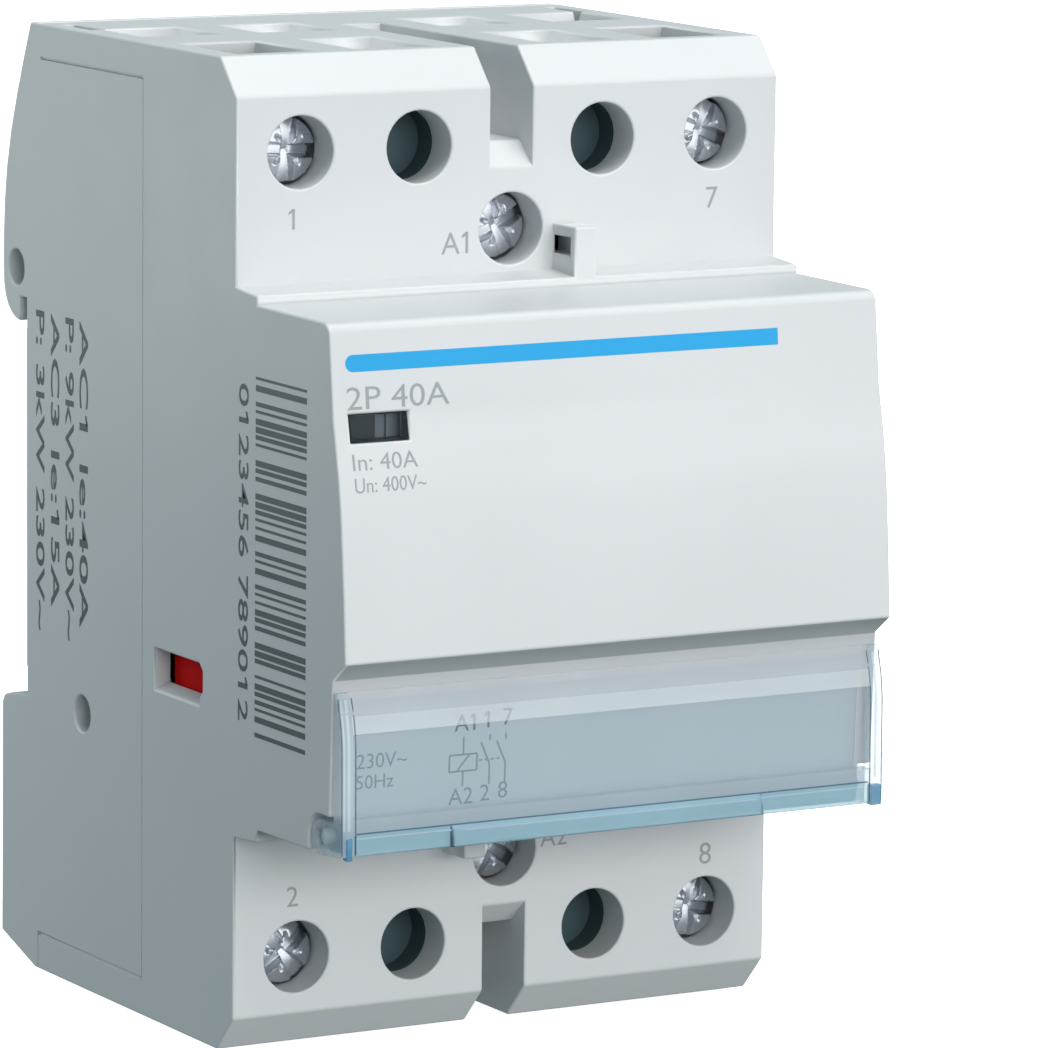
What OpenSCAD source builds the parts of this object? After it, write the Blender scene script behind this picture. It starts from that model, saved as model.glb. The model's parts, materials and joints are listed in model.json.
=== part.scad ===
// DIN rail contactor, three modules wide, two main poles.
// X runs across the width, +Z up, and the front faces -Y.
// The origin is the centre of the seat that rests on the rail.
// Most shapes are written with d, the depth in front of the rail, so y = -d.

/* [Housing] */
// Width of the housing, three modules of 17.5
width = 52.5; // [52:0.1:53.5]
// Half the height of the housing
half_h = 42.2; // [42:0.1:43]
// Thickness of the side walls
wall = 1.5; // [1.2:0.1:1.7]
// Depth of the terminal faces in front of the rail
face_d = 40.3; // [40:0.1:40.8]
// Depth of the seam between the base and the front housing
seam_d = 23.1; // [23.05:0.05:23.2]

/* [Terminals] */
// Distance of the main terminals from the middle
pole_x = 20.15; // [20:0.05:20.3]
// Distance of the unused terminal positions from the middle
spare_x = 8.9; // [8.6:0.1:9.2]
// Height of the main terminal screws
pole_z = 34.2; // [34:0.1:34.4]
// Height of the coil terminal screws
coil_z = 26.9; // [26.6:0.1:27]
// Radius of the screw holes in the front
hole_r = 3.08; // [3.05:0.01:3.2]
// Radius of the main screw threads
main_r = 2.5; // [2:0.1:2.5]
// Radius of the coil screw threads
coil_r = 1.75; // [1.5:0.05:2]

/* [Mechanism] */
// Travel of the contact carrier
travel = 2.8; // [2.6:0.1:2.8]
// Distance of the side window below the middle
window_z = -11.2; // [-11.4:0.1:-11]
// Radius of the running pins of the cover and the flag
pin_r = 0.75; // [0.6:0.05:0.8]

/* [Hidden] */
$fn = 64;
half_w = width / 2;
inner_w = half_w - wall;
rail_half = 17.75;
seat_half = 15.2;
run_gap = 0.05;

// Side outline of the whole housing as [d, z] points
rear_top = [[0.96, half_h], [-0.4, 39.2], [-1.95, 35.5], [-3.1, 32.3], [-3.95, 29.1], [-4.42, 26],
    [-4.62, 23.2], [-4.68, 20.6], [-4.6, 18.7], [-4.25, 17.5], [-3.7, 16.7], [-2.95, 16.1],
    [-2.2, 15.75], [-1.5, 15.6], [-1.2, 15.75], [-1.1, 16.2], [-1.1, rail_half], [0.1, rail_half],
    [0.1, seat_half], [0, seat_half]];
rear_bottom = [[0, -seat_half], [0.1, -seat_half], [0.1, -rail_half], [-3.3, -18.1], [-4.5, -18.4],
    [-5, -19.1], [-5.19, -40.1], [1.7, -half_h]];
front_bottom = [[37.3, -half_h], [face_d, -39], [face_d, -23.3], [44.3, -23.05], [44.7, -22],
    [57.2, -21.8], [57.3, -18.8], [57.78, -7.15], [60, -5.5]];
front_top = [[59.6, 0.6], [59.1, 6.3], [58.6, 9.7], [57.6, 14.3], [57.2, 17.9], [56.85, 21.3],
    [56.5, 21.9], [55.8, 22.15], [44.2, 22.2], [44.2, 22.96], [face_d, 23.26], [face_d, 39], [37.4, half_h]];
outline = concat(rear_top, rear_bottom, front_bottom, front_top);

// Room inside the housing as [d, z] points
roof_z = 39.2;
floor_z = -38.95;
room = [[2.2, floor_z], [2.2, roof_z - 0.3], [36.9, roof_z - 0.3], [38.6, 37.3], [38.6, 21.5],
    [42.5, 21.2], [42.5, 20.4], [55.2, 20.4], [56.1, 13.5], [57.4, 6.3], [57.9, 0.6], [58.1, -4.6],
    [55.9, -6.6], [55.5, -20], [43, -20.2], [43, -21.4], [38.6, -21.6], [38.6, -37.3], [37, floor_z]];

// Terminal parts: depths of the clamp frame, strip, pad and screw
frame_d = [21.6, 32.5];
frame_half_z = 4;
strip_d = [23, 24.4];
pad_d = [29.6, 30.6];
head_d = [36.2, 38.1];
head_r = 2.77;
main_frame_half = 4.2;
coil_frame_half = 3.5;

// Half width of the channel that takes the coil wire
slot_half = 2.05;

// Depths in the contact system
tip_d = 25.3;
bridge_d = [tip_d + travel + 0.05, tip_d + travel + 1.25];
bridge_half_x = 2.6;
bridge_half_z = 12;
contact_z = 9;
post_x = [15.6, 24.55];
gap_x = [16.9, 23.3];
spring_front_d = 36.5;

// Depths in the magnet
core_d = [3.2, 16.5];
armature_d = [core_d[1] + travel + 0.05, 25];
stack_half = 6;
leg_z = [13.5, 18];
bobbin_d = [7.4, 16.3];

// Indicator flag: its pivot and the peg that drives it
flag_pivot = [-21.5, 47];
flag_peg = [-14.5, 47];
flag_z = [12.3, 14.7];
flag_r = 8.6;

// Label cover: its pivot in the side view
cover_pivot = [55.6, -20.45];
ear_x = [25.05, 26.15];

// Rail clip
clip_half = 7.6;
clip_d = [-5, -1.4];
stop_z = [-38, -36.4];

// ---- Shape helpers ----

// Box between two depths, widths and heights
module block(x, d, z) {
    translate([x[0], -d[1], z[0]])
        cube([x[1] - x[0], d[1] - d[0], z[1] - z[0]]);
}

// Extrudes a [d, z] outline across the width from x0 to x1
module across(x0, x1) {
    translate([x1, 0, 0])
        rotate([90, 0, -90])
            linear_extrude(x1 - x0)
                children();
}

// Extrudes an [x, z] outline forward from d0 to d1
module forward(d0, d1) {
    translate([0, -d0, 0])
        rotate([90, 0, 0])
            linear_extrude(d1 - d0)
                children();
}

// Round bar along the depth
module rod(x, z, d, r) {
    translate([x, -d[0], z])
        rotate([90, 0, 0])
            cylinder(h = d[1] - d[0], r = r);
}

// Round bar across the width
module axle(d, z, x, r) {
    translate([x[0], -d, z])
        rotate([0, 90, 0])
            cylinder(h = x[1] - x[0], r = r);
}

// Upright round bar
module post(x, d, z, r) {
    translate([x, -d, z[0]])
        cylinder(h = z[1] - z[0], r = r);
}

// Turns a piece by half a turn about the depth axis, for the lower terminals
module turned(lower) {
    rotate([0, lower ? 180 : 0, 0])
        children();
}

// Both signs of an offset, as a small list
both = [-1, 1];

// One closed spring coil along z from z0, as a swept round wire
module coil_spring(length, r, wire_r, turns) {
    sides = 6;
    steps = 14;
    rings = turns * steps;
    rise = length - 2 * wire_r;
    points = [for (i = [0:rings], k = [0:sides - 1])
        let (a = 360 * i / steps, f = i / rings, b = 360 * k / sides, reach = r - wire_r + wire_r * cos(b))
        [reach * cos(a), reach * sin(a), wire_r + rise * f + wire_r * sin(b)]];
    walls = [for (i = [0:rings - 1], k = [0:sides - 1])
        let (n = (k + 1) % sides)
        [i * sides + k, i * sides + n, (i + 1) * sides + n, (i + 1) * sides + k]];
    start = [[for (k = [0:sides - 1]) sides - 1 - k]];
    end = [[for (k = [0:sides - 1]) rings * sides + k]];
    polyhedron(points = points, faces = concat(walls, start, end), convexity = 10);
}

// A spring along the depth
module depth_spring(x, z, d, r, wire_r, turns) {
    translate([x, -d[0], z])
        rotate([90, 0, 0])
            coil_spring(d[1] - d[0], r, wire_r, turns);
}

// ---- Housing ----

// The region behind the seam, which belongs to the rear base
module base_region() {
    across(-half_w - 1, half_w + 1)
        polygon([[-9, -50], [-9, 50], [3, 50], [3, roof_z], [seam_d, roof_z], [seam_d, floor_z],
            [2.4, floor_z], [2.4, -50]]);
}

// The whole housing as one hollow body
module shell() {
    difference() {
        across(-half_w, half_w)
            polygon(outline);
        across(-inner_w, inner_w)
            polygon(room);
    }
}

// A fine groove in both sides, along the seam
module seam_groove() {
    fine = 0.06;
    g = 0.13;
    foot_g = 0.2;
    for (s = both) {
        x = s < 0 ? [-half_w - 1, -half_w + 0.2] : [half_w - 0.2, half_w + 1];
        block(x, [seam_d - fine, seam_d + fine], [floor_z - g, roof_z + g]);
        block(x, [3, seam_d], [roof_z - g, roof_z + g]);
        block(x, [2.4, seam_d], [floor_z - foot_g, floor_z + foot_g]);
        block(x, [2.4 - fine, 2.4 + fine], [-half_h - 1, floor_z]);
    }
}

// A wire funnel in the upper face: mouth and throat as [d, d], down to a depth
module funnel(x, mouth, throat, half, z0) {
    intersection() {
        across(x - half - 1, x + half + 1)
            polygon([[throat[0], z0], [throat[1], z0], [mouth[1], half_h + 0.1], [mouth[0], half_h + 0.1]]);
        forward(0, face_d)
            polygon([[x - half + 0.5, z0], [x + half - 0.5, z0], [x + half, half_h + 0.1],
                [x - half, half_h + 0.1]]);
    }
}

// Everything cut into one terminal end, drawn for the upper end
module terminal_cuts(slot_z) {
    for (s = both) {
        for (x = [pole_x, spare_x])
            rod(s * x, pole_z, [36.6, face_d + 1], hole_r);
        rod(s * pole_x, pole_z, [32, 36.65], hole_r + 0.5);
        rod(s * spare_x, pole_z, [29, 36.65], hole_r + 0.6);
        funnel(s * pole_x, [25, 36], [24.5, 30.8], 3.7, roof_z - 0.4);
        funnel(s * spare_x, [25, 36], [25.6, 33], 3.7, roof_z + 0.8);
        funnel(s * pole_x, [10, 18.5], [10.6, 16], 3.7, roof_z + 0.8);
        funnel(s * spare_x, [10, 18.5], [10.6, 16], 3.7, roof_z + 0.8);
        block([s * 24.2 - 0.7, s * 24.2 + 0.7], [4.2, 10.4], [roof_z + 0.8, half_h + 1]);
    }
    rod(0, coil_z, [36.6, face_d + 1], hole_r);
    rod(0, coil_z, [32, 36.65], hole_r + 0.5);
    // channel for the coil wire: over the end and down the front
    across(-slot_half, slot_half)
        polygon([[46, slot_z - 2], [face_d, slot_z], [37.9, slot_z + 2.15], [30.5, slot_z + 2.15],
            [30.5, roof_z + 0.5], [13, roof_z + 0.5], [13, half_h + 1], [46, half_h + 1]]);
    // hole for the coil wire in the channel's floor
    block([-slot_half, slot_half], [24.8, 29.4], [30, half_h]);
}

// Screw towers, walls and the wire shaft behind one terminal face
module terminal_towers() {
    for (s = both) {
        x = s < 0 ? [-inner_w - 0.2, main_frame_half - pole_x] : [pole_x - main_frame_half, inner_w + 0.2];
        block(x, [frame_d[1] + 0.1, 39], [30, 39]);
        block([s * spare_x - 4.4, s * spare_x + 4.4], [30, 39], [30, 39]);
        block(s < 0 ? [-15.5, -14.5] : [14.5, 15.5], [23.1, 39], [21.6, 39]);
    }
    block([-4.3, 4.3], [frame_d[1] + 0.1, 39], [22.5, 31.4]);
    // solid back for the channel in the terminal face
    block([-3.5, 3.5], [29.4, 39], [31, 39.2]);
    for (s = both)
        block(s < 0 ? [-3.5, -2.4] : [2.4, 3.5], [24, 30], [31.4, 39.2]);
}

// Small guard bracket beside the coil screw, up to a height
module guard_bracket(reach) {
    block([4.05, 6.15], [39, 44.2], [22, reach]);
}

// Slot in the bracket, which opens into the housing
module guard_slot(z) {
    block([3.5, 5.5], [face_d + 0.1, 43.2], z);
    block([4.2, 5.5], [37, face_d + 0.2], z);
}

// Shelves that hold the flag's pin
module flag_shelves() {
    difference() {
        union() {
            block([-25, -18.6], [43.5, 55.9], [9.4, 10.8]);
            block([-25, -18.6], [43.5, 55.4], [16.2, 17.6]);
        }
        post(flag_pivot[0], flag_pivot[1], [9, 18], pin_r);
    }
}

// Notches for the cover's eyes, and the pegs they turn on
module cover_notches() {
    for (s = both) {
        x = s < 0 ? [-half_w - 1, -ear_x[0] + 0.1] : [ear_x[0] - 0.1, half_w + 1];
        axle(cover_pivot[0], cover_pivot[1], x, 1.9);
        block(x, [cover_pivot[0] - 1.9, 59], [cover_pivot[1] - 3, cover_pivot[1]]);
        block(x, [cover_pivot[0], 59], [cover_pivot[1] - 3, cover_pivot[1] + 1.9]);
    }
}

module cover_pegs() {
    for (s = both)
        block(s < 0 ? [-24.95, -23] : [23, 24.95], [53.5, 56.85], [-21.7, -17.8]);
    for (s = both)
        axle(cover_pivot[0], cover_pivot[1], s < 0 ? [-ear_x[1] + 0.4, -24] : [24, ear_x[1] - 0.4], pin_r - run_gap);
}

// Depth of the recessed front below the nose at a height
function recess_d(z) = 57.3 + (z + 18.8) * 0.0412;

module card_pocket(depth, z0, z1, half) {
    across(-half, half)
        polygon([[recess_d(z0) - depth, z0], [recess_d(z0) + 0.001, z0],
            [recess_d(z1) + 0.001, z1], [recess_d(z1) - depth, z1]]);
}

// Window in the left side that shows the carrier, with a sloping sill
module side_window() {
    z = [window_z - 1.2, window_z + 1.7];
    across(-half_w - 1, -inner_w + 0.5)
        polygon([[25.5, z[0]], [33.8, z[0]], [34.4, z[0] + 0.6], [34.4, z[1] - 0.6], [33.8, z[1]], [25.5, z[1]]]);
    forward(25.5, 33.8)
        polygon([[-half_w - 0.1, z[0] - 0.75], [-half_w - 0.1, z[1] - 1], [-inner_w + 0.1, z[1] - 1],
            [-inner_w + 0.1, z[0]]]);
}

module front_housing() {
    color("gainsboro")
        difference() {
            union() {
                difference() {
                    shell();
                    base_region();
                    card_pocket(0.4, -20.7, -8.9, 24.5);
                    cover_notches();
                }
                terminal_towers();
                turned(true)
                    terminal_towers();
                guard_bracket(27.2);
                turned(true)
                    guard_bracket(26.4);
                flag_shelves();
                cover_pegs();
            }
            terminal_cuts(32.05);
            turned(true)
                terminal_cuts(31.5);
            guard_slot([24.65, 26.2]);
            turned(true)
                guard_slot([24, 25.5]);
            seam_groove();
            side_window();
            block([-inner_w, -19.3], [52, 62], [12.35, 14.67]);
        }
}

// Pockets behind the upper rear wall, and the channel of the rail clip
module rear_pockets() {
    for (x = [-21, -8, 8, 21])
        block([x - 4.6, x + 4.6], [-9, 0.4], [22.8, 36.5]);
    for (x = [-17.5, 17.5])
        block([x - 5, x + 5], [-9, 0.4], [-37, -22]);
    block([-clip_half - 0.3, clip_half + 0.3], [-9, -1.1], [-50, -17]);
    block([-9.7, 9.7], [-3.95, -2.05], [-50, -17]);
}

module rear_base() {
    color("silver")
        difference() {
            union() {
                intersection() {
                    shell();
                    base_region();
                }
                for (sx = both, sz = both)
                    rod(sx * 11.5, sz * 26, [1, 20.2], 2.6);
                axle(11.3, -17.6, [-25.5, -20.6], 3);
                block([-1.7, 1.7], [-4.4, 1], stop_z);
                // ledges that carry the contact base
                for (s = both, z = [-37, 31])
                    block(s < 0 ? [-25, -22.5] : [22.5, 25], [1, 20.2], [z, z + 6]);
            }
            difference() {
                rear_pockets();
                block([-1.7, 1.7], [-4.4, 1], stop_z);
            }
            for (sx = both, sz = both)
                rod(sx * 11.5, sz * 26, [8, 21], 1.2);
            axle(11.3, -17.6, [-half_w - 1, -22.2], 1.6);
            axle(-1.94, 20.3, [-half_w - 1, -half_w + 3], 1.57);
            seam_groove();
        }
}

// Inner frame that carries the contacts and holds the coil down
module contact_base() {
    color("dimgray")
        difference() {
            union() {
                block([-24.5, 24.5], [20.2, 23], [-38.6, 38.6]);
                for (s = both)
                    block(s < 0 ? [-17, -15.1] : [15.1, 17], [bobbin_d[1], 21], [-5, 5]);
                // cups that close the unused screw holes
                for (sx = both, sz = both)
                    rod(sx * spare_x, sz * pole_z, [22, 36.5], hole_r + 0.45);
            }
            for (sx = both, sz = both)
                rod(sx * spare_x, sz * pole_z, [34.3, 37], hole_r + 0.05);
            block([-14.8, 14.8], [20, 24], [-21, 21]);
            for (sx = both, sz = both) {
                block([sx * pole_x - 4.3, sx * pole_x + 4.3], [frame_d[0] - 0.05, 24],
                    [sz * pole_z - 4.1, sz * pole_z + 4.1]);
                rod(sx * 11.5, sz * 26, [20, 24], 1.6);
            }
            for (sz = both)
                block([-coil_frame_half - 0.1, coil_frame_half + 0.1], [frame_d[0] - 0.05, 24],
                    [sz * coil_z - 4.1, sz * coil_z + 4.1]);
        }
}

module base_screws() {
    color("silver")
        for (sx = both, sz = both) {
            rod(sx * 11.5, sz * 26, [12, 23.2], 1.2);
            difference() {
                rod(sx * 11.5, sz * 26, [23, 24.8], 2.4);
                block([sx * 11.5 - 2, sx * 11.5 + 2], [24.1, 26], [sz * 26 - 0.3, sz * 26 + 0.3]);
            }
        }
}

// ---- Label cover and card ----

module label_card() {
    color("lightsteelblue")
        card_pocket(0.35, -20.65, -8.92, 24.48);
}

module label_cover() {
    color("lightblue", 0.5)
        difference() {
            union() {
                across(-ear_x[1], ear_x[1])
                    polygon([[58.15, -8.05], [58.75, -9.7], [59.05, -11.1], [59.2, -12.5], [59.3, -21.6],
                        [58.25, -21.6], [58.15, -12.5], [58.05, -10.8], [57.95, -8.05]]);
                across(-15.9, 13.9)
                    polygon([[59, -19.7], [59.8, -19.9], [59.8, -21.5], [59, -21.6]]);
                for (s = both) {
                    x = s < 0 ? [-ear_x[1], -ear_x[0]] : ear_x;
                    across(x[0], x[1])
                        polygon([[58.4, -8.05], [58.95, -11.9], [59, -21.6], [cover_pivot[0], -21.95],
                            [cover_pivot[0], -18.95], [57.85, -18.95], [57.95, -8.05]]);
                    axle(cover_pivot[0], cover_pivot[1], x, 1.5);
                }
            }
            axle(cover_pivot[0], cover_pivot[1], [-30, 30], pin_r);
        }
}

// ---- Indicator ----

module indicator_lens() {
    color("slategray", 0.5)
        across(-inner_w + 0.05, -19.35)
            polygon([[56.45, 12.4], [57.95, 12.4], [57.48, 14.62], [56.45, 14.62]]);
}

module flag_pin() {
    color("silver")
        post(flag_pivot[0], flag_pivot[1], [9.4, 17.6], pin_r);
}

// Lever with a curved face behind the window and a fork on the carrier's peg
module indicator_flag() {
    hub_z = [11.1, 15.9];
    color("gray")
        difference() {
            union() {
                post(flag_pivot[0], flag_pivot[1], hub_z, 1.7);
                block([flag_pivot[0], -12.9], [45, 49], [12.3, 14.5]);
                intersection() {
                    difference() {
                        post(flag_pivot[0], flag_pivot[1], flag_z, flag_r);
                        post(flag_pivot[0], flag_pivot[1], [10, 16], flag_r - 1);
                    }
                    translate([flag_pivot[0], -flag_pivot[1], 10])
                        linear_extrude(8)
                            polygon([[0, 0], [-3.9, -12], [5.6, -12]]);
                }
                block([flag_pivot[0] - 0.8, flag_pivot[0] + 0.8], [48, 55.4], [12.6, 14.4]);
            }
            post(flag_pivot[0], flag_pivot[1], [8, 20], pin_r + run_gap);
            block([-17.2, -12], [45.7, 48.3], [12, 15]);
        }
}

// ---- Rail clip ----

module din_clip() {
    color("dimgray")
        difference() {
            union() {
                across(-clip_half, clip_half)
                    polygon([[clip_d[1], -43], [clip_d[1], -18.1], [-1.3, -18.1], [-1.3, -16.6], [-2.1, -15.6],
                        [-3.6, -17], [-4.3, -18.6], [clip_d[0], -19.4], [clip_d[0], -41.5], [-4.4, -43]]);
                block([-9.4, 9.4], [-3.7, -2.3], [-42, -19]);
            }
            block([-2.4, 2.4], [-9, 1], [-38.4, -25]);
            block([-2.6, 2.6], [-9, 1], [-41.8, -40.4]);
        }
}

module clip_spring() {
    color("silver")
        translate([0, 2.9, stop_z[1]])
            coil_spring(-25 - stop_z[1], 1.3, 0.2, 8);
}

// ---- Magnet ----

module core_cushion() {
    color("black")
        block([-5, 5], [2.2, core_d[0]], [-14, 14]);
}

module e_core(d, yoke, legs_d) {
    block([-stack_half, stack_half], yoke, [-leg_z[1], leg_z[1]]);
    block([-stack_half, stack_half], legs_d, [-4.5, 4.5]);
    for (s = both)
        block([-stack_half, stack_half], legs_d, s < 0 ? [-leg_z[1], -leg_z[0]] : leg_z);
}

module fixed_core() {
    color("slategray")
        difference() {
            e_core(core_d, [core_d[0], 7.2], core_d);
            for (s = both)
                block([-8, 8], [15.2, 17], s < 0 ? [-16, -15.2] : [15.2, 16]);
        }
}

module shading_rings() {
    color("peru")
        for (s = both)
            rotate([0, s < 0 ? 180 : 0, 0])
                difference() {
                    block([-6.9, 6.9], [15.3, 16.4], [15.25, 18.9]);
                    block([-6.1, 6.1], [15, 17], [15.95, 18.1]);
                }
}

module armature() {
    color("slategray")
        difference() {
            e_core(armature_d, [20.6, armature_d[1]], armature_d);
            axle(23, 0, [-9, 9], 1.05);
        }
}

module armature_pin() {
    color("silver")
        axle(23, 0, [-8.4, 8.4], 1);
}

module coil_bobbin() {
    color("ivory")
        difference() {
            union() {
                block([-7.2, 7.2], bobbin_d, [-5.7, 5.7]);
                for (d = [bobbin_d[0], bobbin_d[1] - 1])
                    block([-13, 13], [d, d + 1], [-13.2, 13.2]);
                block([-17, 17], [bobbin_d[1] - 1, bobbin_d[1]], [-6, 6]);
            }
            block([-6.15, 6.15], [0, 20], [-4.65, 4.65]);
        }
}

module coil_winding() {
    d = [bobbin_d[0] + 1.05, bobbin_d[1] - 1.05];
    color("sienna")
        difference() {
            union() {
                block([-9, 9], d, [-12.3, 12.3]);
                block([-12.2, 12.2], d, [-9.1, 9.1]);
                for (sx = both, sz = both)
                    rod(sx * 9, sz * 9.1, d, 3.2);
            }
            block([-7.25, 7.25], [0, 20], [-5.75, 5.75]);
        }
}

// Thin wires from the winding out to the coil strips
module coil_leads() {
    color("peru")
        for (lower = [false, true])
            turned(lower) {
                rod(8.5, 19.5, [12, 22.95], 0.3);
                post(8.5, 12, [12.3, 19.5], 0.3);
                translate([8.5, -12, 19.5])
                    sphere(0.3);
            }
}

// ---- Contact system ----

module contact_carrier() {
    color("firebrick")
        difference() {
            union() {
                block([-14.3, 14.3], [armature_d[1], 29.5], [-6, 6]);
                block([-16, 16], [26.65, 29.5], [-6, 6]);
                for (s = both) {
                    block(s < 0 ? [-post_x[1], -post_x[0]] : post_x, [26.65, 38.6], [-3.5, 3.5]);
                    block(s < 0 ? [-post_x[1], -gap_x[1]] : [gap_x[1], post_x[1]], [26, 38.6], [-14, 14]);
                    block(s < 0 ? [-8.4, -6.2] : [6.2, 8.4], [21.4, 26], [-4, 4]);
                    rod(s * 11, 0, [23.4, 26], 1.4);
                }
                // arm and peg that drive the flag
                block([-17, -13.3], [spring_front_d, 38.6], [-3.5, 11.5]);
                block([-15.7, -13.3], [38, 48], [9.9, 11.5]);
                post(flag_peg[0], flag_peg[1], [11, 14.6], 0.8);
            }
            for (s = both)
                block(s < 0 ? [-gap_x[1], -gap_x[0]] : gap_x, [bridge_d[0], spring_front_d], [-4, 4]);
            axle(23, 0, [-9, 9], 1);
        }
    color("firebrick")
        for (s = both)
            rod(s * pole_x, 0, [35, spring_front_d], 1.4);
}

module return_springs() {
    color("silver")
        for (s = both)
            depth_spring(s * 11, 0, [bobbin_d[1], armature_d[1]], 2.2, 0.25, 6);
}

// Moving bridge with its two silver tips
module bridge(x) {
    color("peru")
        block([x - bridge_half_x, x + bridge_half_x], bridge_d, [-bridge_half_z, bridge_half_z]);
    color("lightgray")
        for (s = both)
            rod(x, s * contact_z, [bridge_d[0] - 0.8, bridge_d[0]], 2.2);
}

module contact_spring(x) {
    color("silver")
        depth_spring(x, 0, [bridge_d[1], spring_front_d], 2.3, 0.25, 5);
}

// Fixed contact: strip from the clamp to the tip, drawn for the upper end
module fixed_contact(x) {
    color("peru")
        block([x - 3, x + 3], strip_d, [6.3, pole_z + 3.6]);
    color("lightgray")
        rod(x, contact_z, [strip_d[1], tip_d], 2.3);
}

// Coil strip, with an arm to the winding's lead
module coil_strip() {
    color("khaki") {
        block([-2.4, 2.4], strip_d, [18.6, coil_z + 3.6]);
        block([-2.4, 9.6], strip_d, [18.6, 20.5]);
    }
}

// ---- Clamps ----

// Steel box clamp: open to the wire above, threaded in front
module clamp_frame(x, z, half, thread_r) {
    color("lightsteelblue")
        difference() {
            block([x - half, x + half], frame_d, [z - frame_half_z, z + frame_half_z]);
            block([x - half + 1, x + half - 1], [strip_d[0], 30.7], [z - 9, z + 9]);
            rod(x, z, [29, 34], thread_r + run_gap);
        }
}

module clamp_pad(x, z, half) {
    color("silver")
        block([x - half, x + half], pad_d, [z - 3, z + 3]);
}

// Screw with a cross and a slot in its domed head
module terminal_screw(x, z, r) {
    dome_r = 6;
    color("silver")
        difference() {
            union() {
                rod(x, z, [pad_d[1], head_d[0] + 0.2], r);
                intersection() {
                    rod(x, z, [head_d[0], head_d[1] + 1], head_r);
                    translate([x, -(head_d[1] - dome_r), z])
                        sphere(dome_r);
                }
            }
            for (a = [45, 135])
                translate([x, -head_d[1], z])
                    rotate([0, a, 0])
                        cube([3.6, 2.2, 0.8], center = true);
        }
}

rear_base();
front_housing();
contact_base();
label_cover();
label_card();
indicator_lens();
indicator_flag();
flag_pin();
din_clip();
clip_spring();
core_cushion();
fixed_core();
shading_rings();
coil_bobbin();
coil_winding();
coil_leads();
armature();
armature_pin();
contact_carrier();
return_springs();
bridge(-pole_x);  // contact_bridge_left
bridge(pole_x);  // contact_bridge_right
contact_spring(-pole_x);  // contact_spring_left
contact_spring(pole_x);  // contact_spring_right
fixed_contact(-pole_x);  // fixed_contact_1
turned(true) fixed_contact(pole_x);  // fixed_contact_2
fixed_contact(pole_x);  // fixed_contact_7
turned(true) fixed_contact(-pole_x);  // fixed_contact_8
coil_strip();  // coil_strip_a1
turned(true) coil_strip();  // coil_strip_a2
clamp_frame(-pole_x, pole_z, main_frame_half, main_r);  // clamp_frame_1
clamp_frame(-pole_x, -pole_z, main_frame_half, main_r);  // clamp_frame_2
clamp_frame(pole_x, pole_z, main_frame_half, main_r);  // clamp_frame_7
clamp_frame(pole_x, -pole_z, main_frame_half, main_r);  // clamp_frame_8
clamp_frame(0, coil_z, coil_frame_half, coil_r);  // clamp_frame_a1
clamp_frame(0, -coil_z, coil_frame_half, coil_r);  // clamp_frame_a2
clamp_pad(-pole_x, pole_z, 2.9);  // clamp_pad_1
clamp_pad(-pole_x, -pole_z, 2.9);  // clamp_pad_2
clamp_pad(pole_x, pole_z, 2.9);  // clamp_pad_7
clamp_pad(pole_x, -pole_z, 2.9);  // clamp_pad_8
clamp_pad(0, coil_z, 2.2);  // clamp_pad_a1
clamp_pad(0, -coil_z, 2.2);  // clamp_pad_a2
terminal_screw(-pole_x, pole_z, main_r);  // terminal_screw_1
terminal_screw(-pole_x, -pole_z, main_r);  // terminal_screw_2
terminal_screw(pole_x, pole_z, main_r);  // terminal_screw_7
terminal_screw(pole_x, -pole_z, main_r);  // terminal_screw_8
terminal_screw(0, coil_z, coil_r);  // terminal_screw_a1
terminal_screw(0, -coil_z, coil_r);  // terminal_screw_a2
base_screws();
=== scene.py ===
"""Looks of the DIN rail contactor: materials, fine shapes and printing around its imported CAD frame."""
import json
import math

import bmesh
import bpy
from mathutils import Matrix, Vector
from mathutils.bvhtree import BVHTree


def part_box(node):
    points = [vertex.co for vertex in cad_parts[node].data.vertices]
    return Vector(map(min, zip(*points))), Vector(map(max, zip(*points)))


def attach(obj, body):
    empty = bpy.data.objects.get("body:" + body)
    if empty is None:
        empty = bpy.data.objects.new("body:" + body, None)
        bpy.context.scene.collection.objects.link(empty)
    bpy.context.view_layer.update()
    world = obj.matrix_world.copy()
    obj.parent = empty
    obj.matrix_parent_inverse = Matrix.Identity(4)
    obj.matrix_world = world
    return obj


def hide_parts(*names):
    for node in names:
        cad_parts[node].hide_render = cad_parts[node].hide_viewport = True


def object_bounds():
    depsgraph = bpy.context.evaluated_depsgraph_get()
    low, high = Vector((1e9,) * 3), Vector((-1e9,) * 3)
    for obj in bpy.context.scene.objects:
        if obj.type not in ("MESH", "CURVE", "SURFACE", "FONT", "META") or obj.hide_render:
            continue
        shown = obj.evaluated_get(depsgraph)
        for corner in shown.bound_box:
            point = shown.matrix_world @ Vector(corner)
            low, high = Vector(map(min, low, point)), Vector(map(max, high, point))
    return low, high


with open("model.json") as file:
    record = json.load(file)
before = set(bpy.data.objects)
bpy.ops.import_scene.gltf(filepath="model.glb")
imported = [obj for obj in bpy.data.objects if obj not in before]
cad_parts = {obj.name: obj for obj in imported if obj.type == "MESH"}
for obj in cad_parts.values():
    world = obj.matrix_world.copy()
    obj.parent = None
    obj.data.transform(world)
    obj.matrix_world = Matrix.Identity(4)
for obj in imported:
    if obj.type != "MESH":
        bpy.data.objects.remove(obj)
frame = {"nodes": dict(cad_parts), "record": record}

cad_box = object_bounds()
MM = 0.001
NODES = frame["nodes"]
SCENE = bpy.context.scene

# Depth of the housing's seam in front of the rail, and its two heights, in millimetres
SEAM_DEPTH, SEAM_TOP, SEAM_FOOT = 23.1, 39.2, -38.95


# ---- Camera, floor and light ----

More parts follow.
